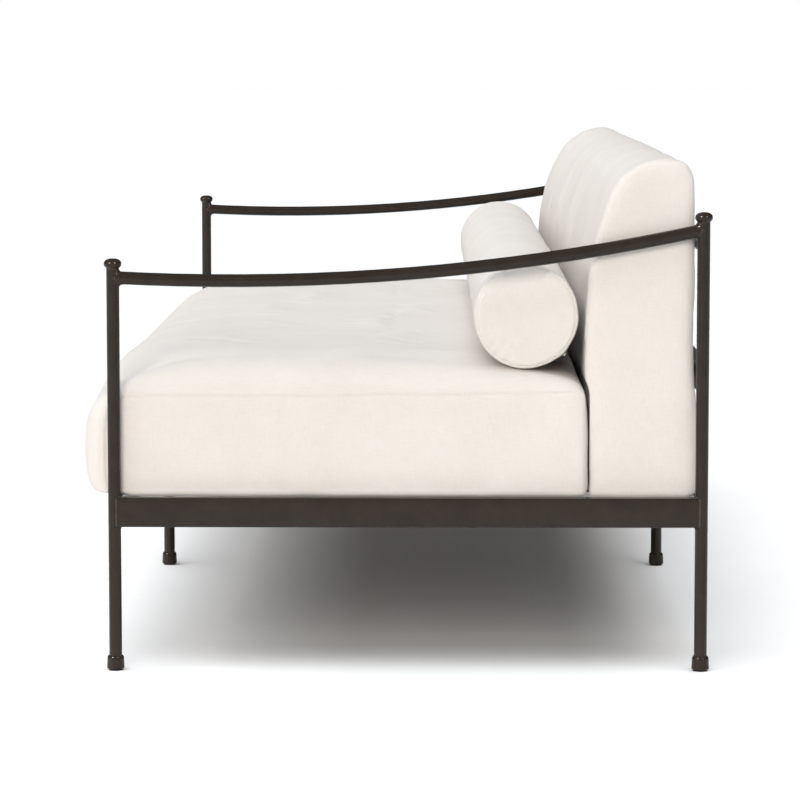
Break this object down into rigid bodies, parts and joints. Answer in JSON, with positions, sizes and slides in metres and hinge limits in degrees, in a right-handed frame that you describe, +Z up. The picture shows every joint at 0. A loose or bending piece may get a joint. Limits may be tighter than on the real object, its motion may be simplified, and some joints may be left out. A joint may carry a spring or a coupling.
{
  "type": "daybed",
  "caption": "Daybed with a slim round-tube steel frame, curved arm rails and button finials, a thick bench cushion, a tall back cushion and a long round bolster.",
  "frame": {"origin": "on the floor, midway along the length and midway in depth", "axes": "+X along the length, to the right of someone facing the daybed's front from outside; +Z up; the front, where the sitter's legs hang, faces -Y"},
  "size_m": [2.1352, 0.918, 0.751],
  "materials": {
    "frame_paint": "dark bronze powder coat, satin",
    "glide_nylon": "moulded nylon, matt",
    "linen": "plain-weave linen, matt",
    "zip_tape": "woven zip tape, matt",
    "zip_slider": "cast slider, enamelled cream"
  },
  "bodies": {
    "frame": {"post_front_left": "frame_paint", "finial_front_left": "frame_paint", "foot_front_left": "frame_paint", "glide_front_left": "glide_nylon", "post_rear_left": "frame_paint", "finial_rear_left": "frame_paint", "foot_rear_left": "frame_paint", "glide_rear_left": "glide_nylon", "arm_rail_left": "frame_paint", "side_rail_left": "frame_paint", "post_front_right": "frame_paint", "finial_front_right": "frame_paint", "foot_front_right": "frame_paint", "glide_front_right": "glide_nylon", "post_rear_right": "frame_paint", "finial_rear_right": "frame_paint", "foot_rear_right": "frame_paint", "glide_rear_right": "glide_nylon", "arm_rail_right": "frame_paint", "side_rail_right": "frame_paint", "front_rail": "frame_paint", "mid_leg_front": "frame_paint", "foot_front_middle": "frame_paint", "glide_front_middle": "glide_nylon", "rear_rail": "frame_paint", "mid_leg_rear": "frame_paint", "foot_rear_middle": "frame_paint", "glide_rear_middle": "glide_nylon", "centre_cross_rail": "frame_paint", "slat_left_1": "frame_paint", "slat_left_2": "frame_paint", "slat_left_3": "frame_paint", "slat_left_4": "frame_paint", "slat_left_5": "frame_paint", "slat_right_1": "frame_paint", "slat_right_2": "frame_paint", "slat_right_3": "frame_paint", "slat_right_4": "frame_paint", "slat_right_5": "frame_paint", "back_top_rail": "frame_paint", "back_upright": "frame_paint", "back_bar_left": "frame_paint", "back_bar_right": "frame_paint"},
    "seat": {"seat_cushion": "linen", "seat_zip_tape": "zip_tape"},
    "back": {"back_cushion": "linen", "back_zip_tape": "zip_tape"},
    "bolster": {"bolster": "linen", "bolster_zip_tape": "zip_tape"},
    "seat_zip": {"seat_zip_slider": "zip_slider"},
    "back_zip": {"back_zip_slider": "zip_slider"},
    "bolster_zip": {"bolster_zip_slider": "zip_slider"}
  },
  "joints": [
    {"name": "seat_cushion_lift", "type": "slide", "parent": "frame", "child": "seat", "axis": [0, -0.5, 0.866], "range_m": [0, 0.5]},
    {"name": "back_cushion_lift", "type": "slide", "parent": "frame", "child": "back", "axis": [0, 0, 1], "range_m": [0, 0.5]},
    {"name": "bolster_lift", "type": "slide", "parent": "seat", "child": "bolster", "axis": [0, 0, 1], "range_m": [0, 0.3]},
    {"name": "seat_zip_slide", "type": "slide", "parent": "seat", "child": "seat_zip", "axis": [1, 0, 0], "range_m": [-1.75, 0]},
    {"name": "back_zip_slide", "type": "slide", "parent": "back", "child": "back_zip", "axis": [1, 0, 0], "range_m": [-1.75, 0]},
    {"name": "bolster_zip_slide", "type": "slide", "parent": "bolster", "child": "bolster_zip", "axis": [1, 0, 0], "range_m": [-1.96, 0]}
  ]
}
